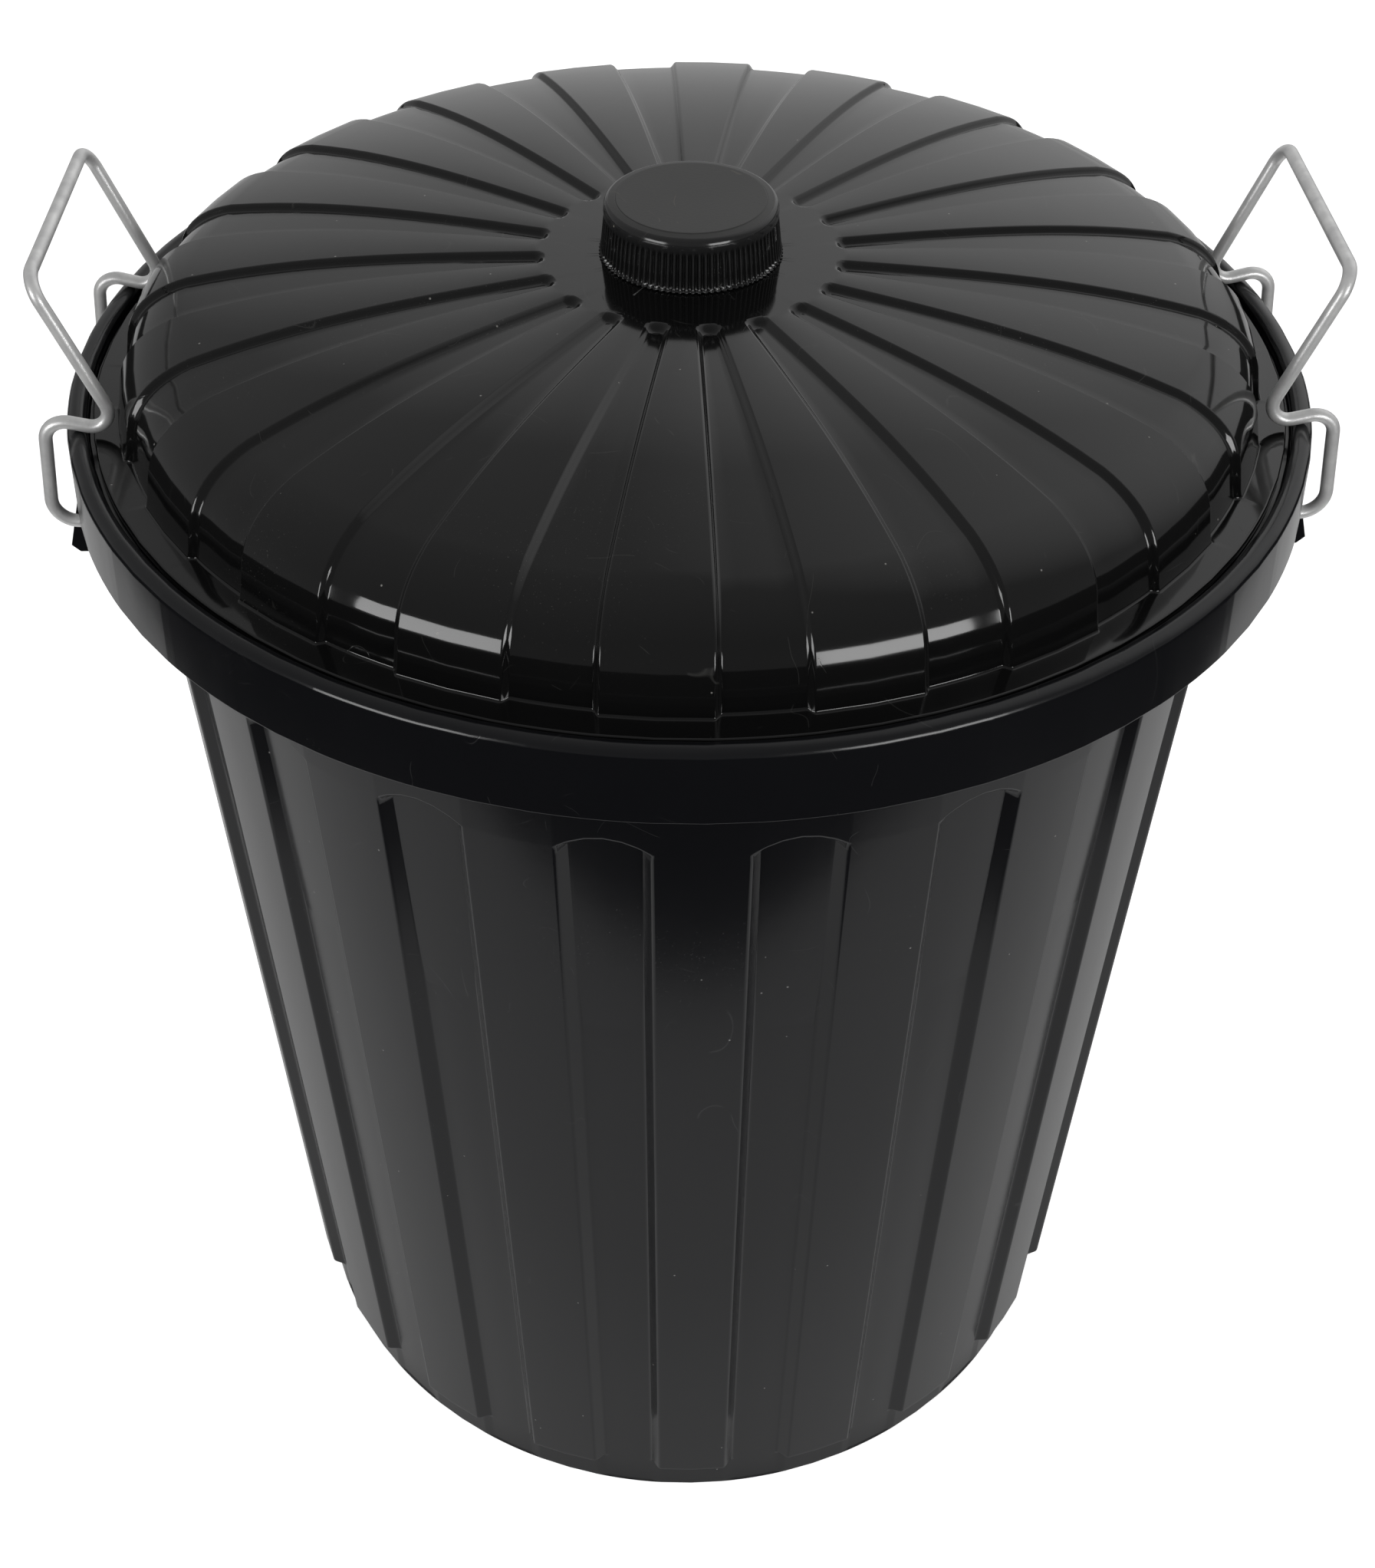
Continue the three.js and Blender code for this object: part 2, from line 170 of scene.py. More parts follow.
def stretched(tree, place, scale, turn=(0, 0, 0)):
    return addNode(tree, "ShaderNodeMapping",
                   {"Vector": place, "Scale": scale, "Rotation": turn}).outputs["Vector"]


def newGroup(name, inputs, outputs):
    group = bpy.data.node_groups.new(name, "ShaderNodeTree")
    for socket, kind in inputs.items():
        group.interface.new_socket(name=socket, in_out="INPUT", socket_type=kind)
    for socket in outputs:
        group.interface.new_socket(name=socket, in_out="OUTPUT", socket_type="NodeSocketFloat")
    return group, group.nodes.new("NodeGroupInput"), group.nodes.new("NodeGroupOutput")


def hairLines(tree, place, scale, thin, gap):  # broken curves, thin and far apart
    field = noiseNode(tree, place, scale, 0.5)
    offMiddle = mathNode(tree, "ABSOLUTE", mathNode(tree, "SUBTRACT", field, 0.5), 0)
    line = rangeNode(tree, offMiddle, 0.0, thin, 1.0, 0.0)
    broken = rangeNode(tree, noiseNode(tree, place, scale * 2.3, 1), gap, gap + 0.04)
    return mathNode(tree, "MULTIPLY", line, broken)


def makeHandlingMarks():  # dust specks, hair scratches and smudges left by handling
    group, given, result = newGroup(
        "handlingMarks",
        {"Place": "NodeSocketVector", "Specks": "NodeSocketFloat"},
        ["Dust", "Scratch", "Smudge"])
    place = given.outputs["Place"]
    cells = addNode(group, "ShaderNodeTexVoronoi", {"Vector": place, "Scale": 95.0})
    speck = rangeNode(group, cells.outputs["Distance"], 0.025, 0.045, 1.0, 0.0)
    picked = addNode(group, "ShaderNodeSeparateColor", {0: cells.outputs["Color"]}).outputs[0]
    some = mathNode(group, "LESS_THAN", picked, given.outputs["Specks"])
    powder = rangeNode(group, noiseNode(group, place, 1500, 1), 0.70, 0.80, 0.0, 0.35)
    patches = rangeNode(group, noiseNode(group, place, 11, 3), 0.52, 0.72)
    dust = mathNode(group, "MAXIMUM", mathNode(group, "MULTIPLY", speck, some),
                    mathNode(group, "MULTIPLY", powder, patches))
    scratch = mathNode(group, "MAXIMUM", hairLines(group, place, 17, 0.0016, 0.60),
                       hairLines(group, place, 39, 0.0035, 0.62))
    group.links.new(dust, result.inputs["Dust"])
    group.links.new(scratch, result.inputs["Scratch"])
    group.links.new(noiseNode(group, place, 6, 4, 0.6), result.inputs["Smudge"])
    return group


def makeDrawnGrain():  # the fine skin of zinc on wire and fixings
    group, given, result = newGroup(
        "drawnGrain", {"Place": "NodeSocketVector"}, ["Mottle", "Grain"])
    place = given.outputs["Place"]
    mottle = mathNode(group, "ADD",
                      mathNode(group, "MULTIPLY", noiseNode(group, place, 160, 3), 0.6),
                      mathNode(group, "MULTIPLY", noiseNode(group, place, 35, 2), 0.4))
    group.links.new(mottle, result.inputs["Mottle"])
    group.links.new(noiseNode(group, place, 1400, 2), result.inputs["Grain"])
    return group


handlingMarks = makeHandlingMarks()
drawnGrain = makeDrawnGrain()


def newMaterial(name):
    material = bpy.data.materials.new(name)
    material.use_nodes = True
    shader = material.node_tree.nodes["Principled BSDF"]
    place = addNode(material.node_tree, "ShaderNodeTexCoord").outputs["Object"]
    return material, material.node_tree, shader, place


def mouldedPlastic(name, look):
    material, tree, shader, place = newMaterial(name)
    marks = addNode(tree, "ShaderNodeGroup", node_tree=handlingMarks)
    tree.links.new(place, marks.inputs["Place"])
    marks.inputs["Specks"].default_value = look["specks"]
    dust, scratch, smudge = (marks.outputs[n] for n in ("Dust", "Scratch", "Smudge"))
    tint = mixColours(tree, smudge, look["colour"], look["bloom"])
    tint = mixColours(tree, mathNode(tree, "MULTIPLY", scratch, look["scratchTint"]), tint,
                      look["scratchColour"])
    tint = mixColours(tree, dust, tint, look["dustColour"])
    tree.links.new(tint, shader.inputs["Base Color"])
    rough = rangeNode(tree, smudge, 0.3, 0.75, look["glossiest"], look["dullest"])
    rough = mathNode(tree, "ADD", rough, mathNode(tree, "MULTIPLY", dust, 0.3))
    tree.links.new(rough, shader.inputs["Roughness"])
    shader.inputs["Specular IOR Level"].default_value = look["specular"]
    flow = noiseNode(tree, stretched(tree, place, look["flowStretch"]), look["flowScale"], 2)
    skin = noiseNode(tree, place, look["skinScale"], 2)
    height = mathNode(tree, "ADD", mathNode(tree, "MULTIPLY", flow, look["flow"]),
                      mathNode(tree, "MULTIPLY", skin, look["skin"]))
    height = mathNode(tree, "SUBTRACT", height, mathNode(tree, "MULTIPLY", scratch, 0.02))
    bump = addNode(tree, "ShaderNodeBump", {"Height": height, "Strength": look["bump"],
                                            "Distance": 0.001})
    tree.links.new(bump.outputs["Normal"], shader.inputs["Normal"])
    return material


tubPlastic = mouldedPlastic("tubPlastic", {
    "colour": (0.0030, 0.0031, 0.0038, 1), "bloom": (0.0046, 0.0048, 0.0058, 1),
    "scratchColour": (0.09, 0.09, 0.09, 1), "scratchTint": 0.16,
    "dustColour": (0.16, 0.16, 0.155, 1), "specks": 0.35,
    "glossiest": 0.14, "dullest": 0.20, "specular": 0.42,
    "flow": 1.0, "flowScale": 7, "flowStretch": (3, 3, 0.5),
    "skin": 0.03, "skinScale": 160, "bump": 0.3})

lidPlastic = mouldedPlastic("lidPlastic", {
    "colour": (0.0032, 0.0032, 0.0033, 1), "bloom": (0.0045, 0.0045, 0.0045, 1),
    "scratchColour": (0.09, 0.09, 0.085, 1), "scratchTint": 0.2,
    "dustColour": (0.20, 0.195, 0.185, 1), "specks": 0.5,
    "glossiest": 0.055, "dullest": 0.10, "specular": 0.5,
    "flow": 0.8, "flowScale": 9, "flowStretch": (1, 1, 1),
    "skin": 0.05, "skinScale": 75, "bump": 0.3})

knobPlastic = mouldedPlastic("knobPlastic", {
    "colour": (0.0095, 0.0095, 0.0100, 1), "bloom": (0.0130, 0.0130, 0.0130, 1),
    "scratchColour": (0.12, 0.11, 0.09, 1), "scratchTint": 0.4,
    "dustColour": (0.22, 0.21, 0.18, 1), "specks": 0.6,
    "glossiest": 0.10, "dullest": 0.16, "specular": 0.5,
    "flow": 0.2, "flowScale": 12, "flowStretch": (1, 1, 1),
    "skin": 0.03, "skinScale": 400, "bump": 0.3})

knobFacePlastic = mouldedPlastic("knobFacePlastic", {
    "colour": (0.018, 0.018, 0.018, 1), "bloom": (0.026, 0.026, 0.025, 1),
    "scratchColour": (0.12, 0.105, 0.08, 1), "scratchTint": 0.5,
    "dustColour": (0.24, 0.21, 0.17, 1), "specks": 0.8,
    "glossiest": 0.42, "dullest": 0.52, "specular": 0.5,
    "flow": 0.1, "flowScale": 12, "flowStretch": (1, 1, 1),
    "skin": 0.10, "skinScale": 900, "bump": 0.3})


def zincCoat(name, look):
    material, tree, shader, place = newMaterial(name)
    skin = addNode(tree, "ShaderNodeGroup", node_tree=drawnGrain)
    tree.links.new(place, skin.inputs["Place"])
    mottle, grain = skin.outputs["Mottle"], skin.outputs["Grain"]
    tint = mixColours(tree, rangeNode(tree, mottle, 0.35, 0.65), look["dark"], look["light"])
    tree.links.new(tint, shader.inputs["Base Color"])
    tree.links.new(rangeNode(tree, mottle, 0.35, 0.65, look["dullest"], look["glossiest"]),
                   shader.inputs["Roughness"])
    shader.inputs["Metallic"].default_value = look["metallic"]
    bump = addNode(tree, "ShaderNodeBump", {"Height": grain, "Strength": look["bump"],
                                            "Distance": 0.0002})
    tree.links.new(bump.outputs["Normal"], shader.inputs["Normal"])
    return material


zincWire = zincCoat("zincWire", {
    "dark": (0.60, 0.60, 0.60, 1), "light": (0.80, 0.80, 0.79, 1),
    "dullest": 0.44, "glossiest": 0.32, "metallic": 0.55, "bump": 0.25})

zincFixing = zincCoat("zincFixing", {
    "dark": (0.45, 0.46, 0.48, 1), "light": (0.62, 0.63, 0.65, 1),
    "dullest": 0.35, "glossiest": 0.25, "metallic": 1.0, "bump": 0.15})
print("materials made")


# The tub.

tub = {
    "footRadius": 190.2, "footCorner": 2.5, "footRing": 16, "baseRise": 4,
    "bandTop": 21,  # where the lands between the flutes begin
    "landFoot": 195.0, "flare": 0.0396,  # radius of the lands there, and its growth
    "ledge": 499.8,  # what the lid lies on
    "rimRadius": 235.2, "skirtRadius": 236.7, "skirtDrop": 22.6, "skirtWall": 3,
    "ridgeInner": 227.8, "ridgeRise": 5.8, "wall": 3,
    "flutes": 20, "fluteDepth": 4.8, "fluteAngle": 9.0, "fluteSide": 4.4, "softness": 0.8,
    "fluteTop": 445.5, "archRise": 6.5, "archReach": 60,  # the arch fades out over this height
    "rows": 19, "rowStep": 22, "firstRow": 3,  # rings of the wall, above the band
}


def landRadius(height):
    return tub["landFoot"] + tub["flare"] * (height - tub["bandTop"])


def fluteShape(column, radius, height, pitch):
    land = landRadius(height)
    edge = radius * math.tan(math.radians(tub["fluteAngle"] / 2))
    aside = columnPlace(column, edge, radius * pitch / 2, tub["fluteSide"], tub["softness"])
    across = min(1, aside / edge)
    fade = max(0, 1 - abs(height - tub["fluteTop"]) / tub["archReach"])
    newHeight = height - tub["archRise"] * across ** 2 * fade
    if radius < tub["footRadius"] - 0.01 or height > tub["fluteTop"] + 8:
        return aside, radius, height
    arch = tub["fluteTop"] - height
    inward = softRamp(edge - aside, tub["fluteSide"], tub["softness"])
    below = softRamp(arch, tub["fluteSide"], tub["softness"])
    floorRadius = land - tub["fluteDepth"]
    depth = max(0, radius - floorRadius) * min(inward, below)
    return aside, radius - depth, newHeight


def makeTub():
    size = tub
    skirtBottom = size["ledge"] - size["skirtDrop"]
    underLedge = size["ledge"] - size["wall"]
    crown = size["ledge"] + size["ridgeRise"]
    ringInner = size["footRadius"] - size["footCorner"] - size["footRing"]
    soft, side = size["softness"], size["fluteSide"]
    archRows = [side + soft, side, side - soft, side / 2, soft, 0, -soft]
    wallRows = [size["bandTop"] + size["firstRow"] + size["rowStep"] * i
                for i in range(size["rows"])]
    wallRows += [size["fluteTop"] - row for row in archRows]
    inner = lambda height: landRadius(height) - size["wall"]
    bm = bmesh.new()
    drawOutline(bm, [
        (0, size["baseRise"], 0),
        (ringInner - size["baseRise"], size["baseRise"], 1),
        (ringInner, 0, 1),
        (size["footRadius"], 0, size["footCorner"]),
        (size["footRadius"] + 0.3, size["bandTop"], 0.8),
        (landRadius(size["bandTop"]), size["bandTop"] + 0.8, 0.7),
        *[(landRadius(height), height, 0) for height in wallRows],
        (landRadius(underLedge), underLedge, 2),
        (size["rimRadius"] - size["skirtWall"], underLedge, 2),
        (size["skirtRadius"] - size["skirtWall"], skirtBottom, 0.8),
        (size["skirtRadius"], skirtBottom, 0.8),
        (size["rimRadius"], crown, 3.4),
        (size["ridgeInner"], crown, 3.0),
        (size["ridgeInner"], size["ledge"], 0.8),
        (inner(underLedge), size["ledge"], 1.5),
        (size["footRadius"] - size["wall"] - size["fluteDepth"] / 4, size["wall"] + 2, 6),
        (ringInner - size["baseRise"], size["baseRise"] + size["wall"], 2),
        (0, size["baseRise"] + size["wall"], 0),
    ])
    spinRound(bm, size["flutes"] * 2 * halfColumns)
    carve(bm, size["flutes"], math.pi / size["flutes"], fluteShape)
    return finishPiece("dustbinTub", bm, tubPlastic, "tub", ["tub"])


makeTub()


# The hinge lugs under the skirt.

lug = {
    "pivotX": 228, "pivotHeight": 466, "eye": 2.8,
    "face": 49.9, "thick": 6,  # where its outer face stands, and how far it runs in from there
    "bottom": 449, "bottomOut": 237.8, "chamfer": 3, "edge": 0.5, "eyeSides": 20,
    "skirtOut": 230.5, "skirtBottom": 477.2, "top": 497.5, "topOut": 227.5, "topIn": 207.5,
    "bottomIn": 204.5,
}


def makeLugs():
    size = lug
    bm = bmesh.new()
    corners = [(size["bottomIn"], size["bottom"]),
               (size["bottomOut"] - size["chamfer"], size["bottom"]),
               (size["bottomOut"], size["bottom"] + size["chamfer"]),
               (size["skirtOut"], size["skirtBottom"]), (size["topOut"], size["top"]),
               (size["topIn"], size["top"])]
    points = [bm.verts.new((x, -size["face"], z)) for x, z in corners]
    edges = [bm.edges.new((a, b)) for a, b in zip(points, points[1:] + points[:1])]
    turn = Matrix.Translation((size["pivotX"], -size["face"], size["pivotHeight"]))
    turn = turn @ Matrix.Rotation(math.pi / 2, 4, "X")
    eye = bmesh.ops.create_circle(bm, cap_ends=False, radius=size["eye"],
                                  segments=size["eyeSides"], matrix=turn)
    edges += list({edge for vert in eye["verts"] for edge in vert.link_edges})
    bmesh.ops.triangle_fill(bm, use_beauty=True, use_dissolve=False, edges=edges)
    grown = bmesh.ops.extrude_face_region(bm, geom=bm.faces[:])
    moved = [part for part in grown["geom"] if isinstance(part, bmesh.types.BMVert)]
    bmesh.ops.translate(bm, vec=(0, size["thick"], 0), verts=moved)
    rims = [edge for edge in bm.edges
            if edge.is_manifold and edge.calc_face_angle(0) > sharpTurn]
    bmesh.ops.bevel(bm, geom=rims, offset=size["edge"], offset_type="OFFSET", segments=2,
                    profile=0.5, affect="EDGES", material=-1, clamp_overlap=True)
    for axis in ("Y", "X"):
        bmesh.ops.mirror(bm, geom=bm.verts[:] + bm.edges[:] + bm.faces[:], axis=axis,
                         matrix=Matrix.Identity(4), merge_dist=-1)
    bmesh.ops.recalc_face_normals(bm, faces=bm.faces[:])
    return finishPiece("hingeLugs", bm, tubPlastic, "tub", sharpAngle=40)


makeLugs()


# The lid.

lid = {
    "flangeBottom": 500.1, "flangeTop": 503.0, "flangeRadius": 225.9,
    "domeFoot": 216.4, "wallTop": (214.2, 11), "shoulder": (211.2, 30), "capEdge": (188, 36.6),
    "hubRadius": 58, "hubRise": 45.7, "capPower": 3, "thick": 4.9,
    "channels": 20, "channelTurn": 5.0, "channelAngle": 8.2, "channelDepth": 2.4,
    "channelSide": 1.5, "softness": 0.72, "channelEnd": 55,
    "turnCentre": (191, 14),  # the channels sink towards here round the shoulder
    "bore": 3.1, "hubWall": 2.5,  # the knob's screw passes here
}


def channelShape(column, radius, height, pitch):
    edge = radius * math.radians(lid["channelAngle"] / 2)
    aside = columnPlace(column, edge, radius * pitch / 2, lid["channelSide"], lid["softness"])
    if height < lid["flangeTop"] - 0.01 or radius > lid["domeFoot"] + 1.1:
        return aside, radius, height
    endRadius = lid["channelEnd"] * math.radians(lid["channelAngle"] / 2) * 1.1
    endCentre = lid["channelEnd"] + endRadius
    inward = edge - aside
    if radius < endCentre:
        inward = min(inward, endRadius - math.hypot(radius - endCentre, aside))
    depth = lid["channelDepth"] * softRamp(inward, lid["channelSide"], lid["softness"])
    outX = max(0, radius - lid["turnCentre"][0])
    outZ = max(0, height - lid["flangeTop"] - lid["turnCentre"][1])
    reach = math.hypot(outX, outZ)
    return aside, radius - depth * outX / reach, height - depth * outZ / reach


def capHeight(radius):
    share = max(0, radius - lid["hubRadius"]) / (lid["capEdge"][0] - lid["hubRadius"])
    return lid["hubRise"] - (lid["hubRise"] - lid["capEdge"][1]) * share ** lid["capPower"]


def makeLid():
    size = lid
    top = size["flangeTop"]
    up = lambda point: (point[0], top + point[1])
    shoulder = arcPoints(up(size["wallTop"]), up(size["shoulder"]), up(size["capEdge"]), 12)
    capRows = [size["capEdge"][0] - 10 * i for i in range(1, 13)]
    endRows = [size["channelEnd"] + 9 - 0.7 * i for i in range(15)]
    hub = [(radius, top + capHeight(radius), 0) for radius in capRows + endRows + [40, 20]]
    sunk = size["thick"]
    under = arcPoints((size["capEdge"][0] - sunk / 2, top + size["capEdge"][1] - sunk),
                      (size["shoulder"][0] - sunk, top + size["shoulder"][1] - sunk),
                      (size["wallTop"][0] - sunk, top + size["wallTop"][1] - sunk), 6)
    wallRise = size["wallTop"][1]
    bm = bmesh.new()
    drawOutline(bm, [
        (size["domeFoot"] - sunk, size["flangeBottom"], 0.8),
        (size["flangeRadius"], size["flangeBottom"], 0.6),
        (size["flangeRadius"], top, 0.9),
        (size["domeFoot"] + 1.0, top, 0),
        (size["domeFoot"] + 0.3, top + 0.25, 0),
        (size["domeFoot"], top + 1.0, 0),
        *[(size["domeFoot"] - (size["domeFoot"] - size["wallTop"][0]) * i / 4,
           top + wallRise * i / 4, 0) for i in range(1, 4)],
        *shoulder,
        *hub,
        (5, top + size["hubRise"], 0),
        (size["bore"], top + size["hubRise"], 0),
        (size["bore"], top + size["hubRise"] - size["hubWall"], 0),
        (50, top + size["hubRise"] - size["hubWall"], 0),
        (60, top + size["hubRise"] - sunk, 0),
        (120, top + capHeight(120) - sunk, 0),
        (165, top + capHeight(165) - sunk, 0),
        *under,
    ])
    ends = [vert for vert in bm.verts if len(vert.link_edges) == 1]
    bm.edges.new(ends)
    spinRound(bm, size["channels"] * 2 * halfColumns)
    carve(bm, size["channels"], math.radians(size["channelTurn"]), channelShape)
    return finishPiece("channelledLid", bm, lidPlastic, "lid", ["lid"])


makeLid()


# The knob.

knob = {
    "foot": 549.0, "footRadius": 34.4, "flare": 0.7, "flareRise": 1.8,
    "ribTopRadius": 32.3, "ribTop": 15.4,
    "faceRadius": 30.6, "faceRise": 20.2, "discRadius": 27.9, "discRise": 20.9,
    "ribs": 90, "ribDepth": 0.9, "ribFadeRun": 1.2,
    "ribSection": [0, 0.12, 0.85, 1, 0.85, 0.12],  # how deep, from one crest round to the next
    "wall": 2.8, "boss": 7.5, "bore": 3.1, "boreDepth": 14,
}


def ribFade(height):
    up = height - knob["foot"]
    return max(0, min(1, (knob["ribTop"] - up) / knob["ribFadeRun"]))


def makeKnob():
    size = knob
    foot = size["foot"]
    rise = lambda up: foot + up
    wall = size["wall"]
    ribLow = size["flareRise"]
    ribRun = size["ribTop"] - size["ribFadeRun"] - size["flareRise"]
    sink = size["ribSection"]
    columns = size["ribs"] * len(sink)
    draft = size["footRadius"] - size["flare"] - size["ribTopRadius"]
    bm = bmesh.new()
    shoulder = arcPoints((size["ribTopRadius"] + 0.15, rise(size["ribTop"] + 0.9)),
                         (size["ribTopRadius"] + 0.1, rise(size["faceRise"] - 0.4)),
                         (size["faceRadius"], rise(size["faceRise"])), 6)
    drawOutline(bm, [
        (0, rise(size["discRise"]), 0),
        (12, rise(size["discRise"]), 0),
        (size["discRadius"] - 0.2, rise(size["discRise"]), 0.12),
        (size["discRadius"], rise(size["discRise"] - 0.3), 0.08),
        (size["discRadius"] + 0.35, rise(size["discRise"] - 0.28), 0.1),
        *reversed(shoulder),
        *[(size["ribTopRadius"], rise(size["ribTop"] - drop), 0)
          for drop in (0.0, 0.4, 0.8, 1.2)],
        *[(size["ribTopRadius"] + draft * i / 4, rise(ribLow + ribRun * (1 - i / 4)), 0)
          for i in range(1, 5)],
        (size["footRadius"] - size["flare"] * 0.7, rise(ribLow * 0.7), 0),
        (size["footRadius"] - size["flare"] * 0.3, rise(ribLow * 0.42), 0),
        (size["footRadius"], rise(0.5), 0),
        (size["footRadius"] - 0.4, rise(0), 0),
        (size["footRadius"] - wall, rise(0), 0.3),
        (size["discRadius"] - 1, rise(size["discRise"] - wall), 1),
        (size["boss"], rise(size["discRise"] - wall), 0.5),
        (size["boss"], rise(0.3), 0.3),
        (size["bore"], rise(0.3), 0),
        (size["bore"], rise(size["boreDepth"]), 0),
        (0, rise(size["boreDepth"]), 0),
    ])
    spinRound(bm, columns)
    for vert in bm.verts:
        radius = math.hypot(vert.co.x, vert.co.y)
        if radius < size["ribTopRadius"] - 0.2 or vert.co.z > rise(size["ribTop"] + 0.1):
            continue
        step = round(math.atan2(vert.co.x, -vert.co.y) / (2 * math.pi) * columns)
        depth = size["ribDepth"] * sink[step % len(sink)] * ribFade(vert.co.z)
        vert.co.x *= 1 - depth / radius
        vert.co.y *= 1 - depth / radius
    piece = finishPiece("ribbedKnob", bm, knobPlastic, "lid", ["knob"])
    piece.data.materials.append(knobFacePlastic)  # slot 1, on the disc
    piece.data.materials.append(lidPlastic)  # slot 2, darker, painted shade in the valleys between the ribs
    for face in piece.data.polygons:
        centre = face.center * 1000
        radius = math.hypot(centre.x, centre.y)
        place = math.atan2(centre.x, -centre.y) / (2 * math.pi) * columns % len(sink)
        up = centre.z - foot
        if radius < size["faceRadius"] - 0.5 and centre.z > rise(size["faceRise"]):
            face.material_index = 1
        # painted shade: the deepest columns between the ribs take the darker slot 2
        elif (radius > size["ribTopRadius"] - 1 and 1 < place < len(sink) - 1
              and 1 < up < size["ribTop"] - 1):
            face.material_index = 2
    return piece


makeKnob()


# The wire handles.

handle = {
    "wire": 5, "sides": 20, "bendSteps": 10, "endEdge": 0.6,
    "pinEnd": (228, 42.3, 466),
    "corners": [  # x, y, height and bend radius, from the pin to the grip
        (228, 53.4, 466, 3), (241.2, 53.4, 466, 9), (236, 53.4, 511.2, 8),
        (208.6, 52.8, 504.4, 6.5), (231.6, 52.2, 565.4, 9)],
}


def bendWire(bm, path, radius, sides, steps):  # runs a ring along straights and round bends
    start, along = path[0][0], (path[1][0] - path[0][0]).normalized()
    facing = Matrix.Translation(start) @ along.to_track_quat("Z", "Y").to_matrix().to_4x4()
    ring = bmesh.ops.create_circle(bm, cap_ends=False, radius=radius, segments=sides,
                                   matrix=facing)["verts"]
    first = list(ring)
    here = start
    for (point, bend), (after, _) in zip(path[1:], path[2:] + [(None, 0)]):
        edges = [edge for edge in {e for v in ring for e in v.link_edges}
                 if all(v in ring for v in edge.verts)]
        into = (point - here).normalized()
        stop = point
        if after is not None:
            out = (after - point).normalized()
            turn = into.angle(out)
            stop = point - into * bend * math.tan(turn / 2)
        grown = bmesh.ops.extrude_edge_only(bm, edges=edges)["geom"]
        ring = [part for part in grown if isinstance(part, bmesh.types.BMVert)]
        bmesh.ops.translate(bm, vec=stop - here, verts=ring)
        here = stop
        if after is None:
            break
        edges = [part for part in grown if isinstance(part, bmesh.types.BMEdge)]
        edges = [edge for edge in edges if all(v in ring for v in edge.verts)]
        axis = into.cross(out).normalized()
        centre = stop + axis.cross(into) * bend
        spun = bmesh.ops.spin(bm, geom=ring + edges, cent=centre, axis=axis, dvec=(0, 0, 0),
                              angle=turn, steps=steps, use_merge=False,
                              use_normal_flip=False, use_duplicate=False)["geom_last"]
        ring = [part for part in spun if isinstance(part, bmesh.types.BMVert)]
        here = centre + Matrix.Rotation(turn, 4, axis) @ (stop - centre)
    for end in (first, ring):
        edges = [edge for edge in {e for v in end for e in v.link_edges}
                 if all(v in end for v in edge.verts)]
        bmesh.ops.edgeloop_fill(bm, edges=edges)
    rims = [edge for edge in bm.edges if edge.is_manifold and edge.calc_face_angle(0) > sharpTurn]
    bmesh.ops.bevel(bm, geom=rims, offset=handle["endEdge"], offset_type="OFFSET", segments=3,
                    profile=0.5, affect="EDGES", material=-1)
    bmesh.ops.recalc_face_normals(bm, faces=bm.faces[:])


def makeHandle(side, name, node):
    size = handle
    half = [(Vector((side * x, -y, z)), bend) for x, y, z, bend in size["corners"]]
    other = [(Vector((side * x, y, z)), bend) for x, y, z, bend in reversed(size["corners"])]
    pinX, pinY, pinZ = size["pinEnd"]
    path = [(Vector((side * pinX, -pinY, pinZ)), 0), *half, *other,
            (Vector((side * pinX, pinY, pinZ)), 0)]
    bm = bmesh.new()
    bendWire(bm, path, size["wire"] / 2, size["sides"], size["bendSteps"])
    return finishPiece(name, bm, zincWire, node, [node], sharpAngle=60)


makeHandle(-1, "wireHandleLeft", "handle_left")
makeHandle(1, "wireHandleRight", "handle_right")

for fixing in ("knob_screw", "knob_washer"):  # their CAD shape is right as it is
    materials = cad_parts[fixing].data.materials
    materials.clear()
    materials.append(zincFixing)
print("pieces made")


# Floor, light and camera.

studio = {
    "floorGrey": 0.80, "floorSize": 6.0, "floorLift": 0.70,  # lift towards white for the camera
    # in reflections the floor turns dark ahead of whiteEnds and aside of sideEnds
    "whiteEnds": -0.49, "sideEnds": 0.75, "sideSlant": 0.4, "beyond": 0.02,
    "nearFrom": -0.10, "nearTo": -0.30, "nearPaintedShade": 0.28,  # painted shade: in reflections the floor is darker just in front of the bin
    "roomLevel": 0.62,  # plain light for matt surfaces
    "frontLevel": 0.18, "backLevel": 0.34,
    # bright walls: the way to each, how near to it they begin, and what they add
    "glows": (((0.671, 0.470, 0.574), 0.70, 0.50), ((0.086, 0.981, 0.174), 0.84, 0.50)),
    "windowSize": (0.62, 0.36), "windowReach": 1.35, "windowHeight": 0.52, "windowRise": 6,
    "windows": ((-46, 4.3), (34, 4.9)),  # degrees from the front, and watts
}


def plainMaterial(name, grey):
    material = bpy.data.materials.new(name)
    material.use_nodes = True
    shader = material.node_tree.nodes["Principled BSDF"]
    shader.inputs["Base Color"].default_value = (grey, grey, grey, 1)
    shader.inputs["Roughness"].default_value = 0.9
    shader.inputs["Specular IOR Level"].default_value = 0.1
    return material, material.node_tree, shader


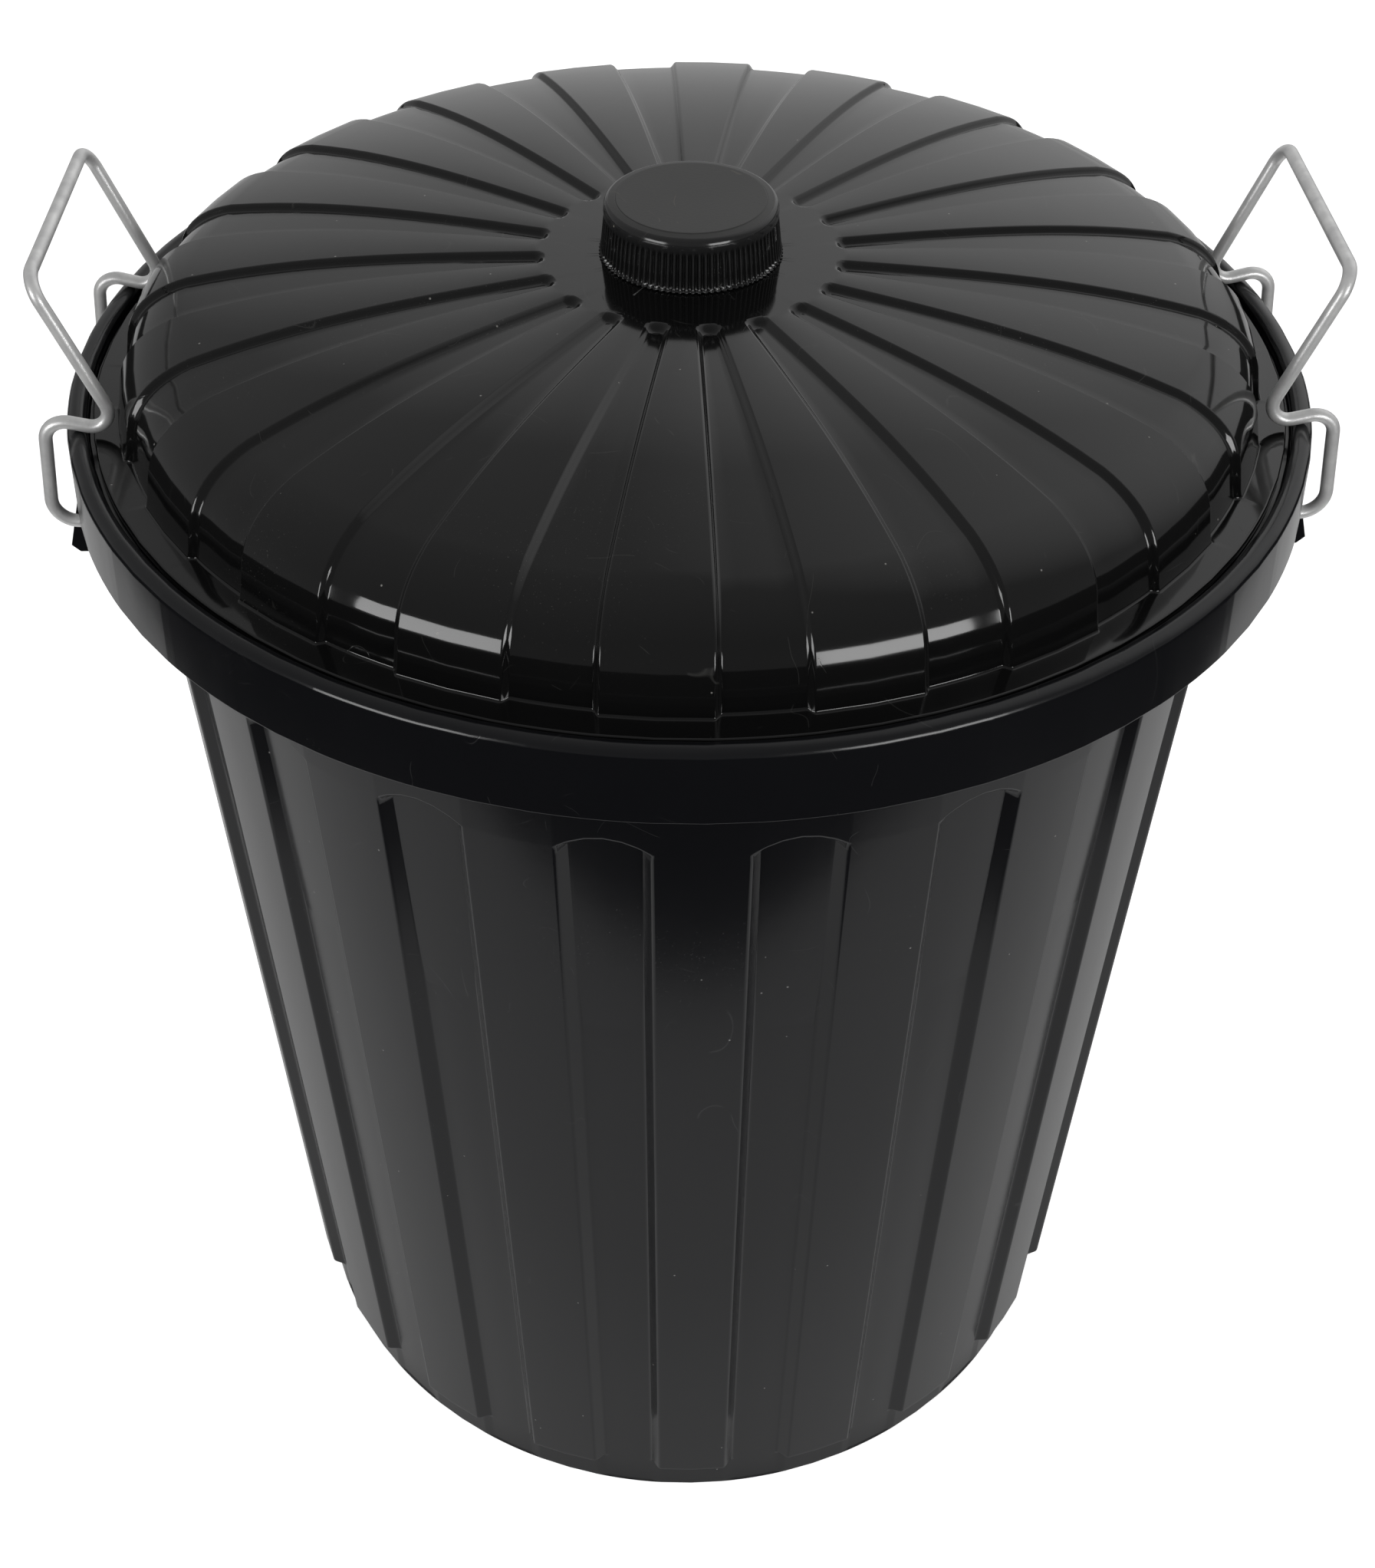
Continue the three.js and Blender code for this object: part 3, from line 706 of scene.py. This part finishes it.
def makeFloor():
    size = studio
    material, tree, shader = plainMaterial("paleFloor", size["floorGrey"])
    rays = addNode(tree, "ShaderNodeLightPath")
    place = addNode(tree, "ShaderNodeTexCoord").outputs["Object"]
    split = addNode(tree, "ShaderNodeSeparateXYZ", {"Vector": place})
    across, ahead = split.outputs["X"], split.outputs["Y"]
    aside = mathNode(tree, "SUBTRACT", mathNode(tree, "ABSOLUTE", across, 0),
                     mathNode(tree, "MULTIPLY", ahead, size["sideSlant"]))
    ends = mathNode(tree, "MAXIMUM",
                    rangeNode(tree, ahead, size["whiteEnds"], size["whiteEnds"] - 0.02),
                    rangeNode(tree, aside, size["sideEnds"], size["sideEnds"] + 0.04))
    # painted shade on the floor just in front of the bin, seen only in reflections
    near = rangeNode(tree, ahead, size["nearFrom"], size["nearTo"], 0.0, size["nearPaintedShade"])
    ends = mathNode(tree, "MAXIMUM", ends, near)
    dark = mathNode(tree, "MULTIPLY", ends, rays.outputs["Is Glossy Ray"])
    pale, far = ((grey, grey, grey, 1) for grey in (size["floorGrey"], size["beyond"]))
    tree.links.new(mixColours(tree, dark, pale, far), shader.inputs["Base Color"])
    lift = size["floorLift"]
    shader.inputs["Emission Color"].default_value = (lift, lift, lift, 1)
    tree.links.new(rays.outputs["Is Camera Ray"], shader.inputs["Emission Strength"])
    bm = bmesh.new()
    bmesh.ops.create_grid(bm, x_segments=1, y_segments=1, size=size["floorSize"])
    mesh = bpy.data.meshes.new("paleFloor")
    bm.to_mesh(mesh)
    bm.free()
    mesh.materials.append(material)
    floor = bpy.data.objects.new("paleFloor", mesh)
    bpy.context.scene.collection.objects.link(floor)


def makeRoom():  # white for the camera, and walls of their own brightness in reflections
    size = studio
    world = bpy.data.worlds.new("studioRoom")
    bpy.context.scene.world = world
    world.use_nodes = True
    tree = world.node_tree
    tree.nodes.clear()
    way = addNode(tree, "ShaderNodeTexCoord").outputs["Generated"]
    backward = addNode(tree, "ShaderNodeSeparateXYZ", {"Vector": way}).outputs["Y"]
    level = rangeNode(tree, backward, -0.8, 0.5, size["frontLevel"], size["backLevel"])
    for glow, start, gain in size["glows"]:
        facing = addNode(tree, "ShaderNodeVectorMath", {0: way, 1: glow},
                         operation="DOT_PRODUCT").outputs["Value"]
        level = mathNode(tree, "ADD", level, rangeNode(tree, facing, start, 1.0, 0.0, gain))
    plain = size["roomLevel"]
    walls = addNode(tree, "ShaderNodeBackground", {"Color": level, "Strength": 1.0})
    light = addNode(tree, "ShaderNodeBackground", {"Color": (plain, plain, plain, 1)})
    white = addNode(tree, "ShaderNodeBackground", {"Color": (1, 1, 1, 1), "Strength": 1.0})
    rays = addNode(tree, "ShaderNodeLightPath")
    mirrored = mathNode(tree, "MAXIMUM", rays.outputs["Is Glossy Ray"],
                        rays.outputs["Is Transmission Ray"])
    inside = addNode(tree, "ShaderNodeMixShader",
                     {0: mirrored, 1: light.outputs[0], 2: walls.outputs[0]})
    seen = addNode(tree, "ShaderNodeMixShader",
                   {0: rays.outputs["Is Camera Ray"], 1: inside.outputs[0],
                    2: white.outputs[0]})
    addNode(tree, "ShaderNodeOutputWorld", {"Surface": seen.outputs[0]})


def makeWindows():  # two softboxes in front, to the left and to the right
    size = studio
    for turn, power in size["windows"]:
        lamp = bpy.data.lights.new("softbox", "AREA")
        lamp.shape = "RECTANGLE"
        lamp.size, lamp.size_y = size["windowSize"]
        lamp.energy = power
        aside, rise = math.radians(turn), math.radians(size["windowRise"])
        way = Vector((math.sin(aside) * math.cos(rise), -math.cos(aside) * math.cos(rise),
                      math.sin(rise)))
        box = bpy.data.objects.new("softbox", lamp)
        box.location = Vector((0, 0, size["windowHeight"])) + way * size["windowReach"]
        box.rotation_euler = way.to_track_quat("Z", "Y").to_euler()
        bpy.context.scene.collection.objects.link(box)


makeFloor()
makeRoom()
makeWindows()

view = {
    "focal": 2750 / 1793 * 36, "sensor": 36.0,
    "target": (0, 0, 0.500),  # middle of the rim
    "distance": 0.8335, "elevation": 30.83, "azimuth": -1.47,
    "pitch": 42.08, "heading": 1.50, "roll": 0.48,
}


def makeCamera():
    size = view
    lens = bpy.data.cameras.new("photoView")
    lens.sensor_fit = "HORIZONTAL"
    lens.sensor_width = size["sensor"]
    lens.lens = size["focal"]
    camera = bpy.data.objects.new("photoView", lens)
    bpy.context.scene.collection.objects.link(camera)
    bpy.context.scene.camera = camera
    turn = math.radians(size["azimuth"])
    rise = math.radians(size["elevation"])
    back = Vector((math.sin(turn) * math.cos(rise), -math.cos(turn) * math.cos(rise),
                   math.sin(rise)))
    camera.location = Vector(size["target"]) + back * size["distance"]
    aim = Matrix.Rotation(-math.radians(size["heading"]), 4, "Z")
    aim = aim @ Matrix.Rotation(math.pi / 2 - math.radians(size["pitch"]), 4, "X")
    aim = aim @ Matrix.Rotation(math.radians(size["roll"]), 4, "Z")
    camera.rotation_euler = aim.to_euler()


makeCamera()
bpy.context.scene.view_settings.view_transform = "Standard"
print("studio made")
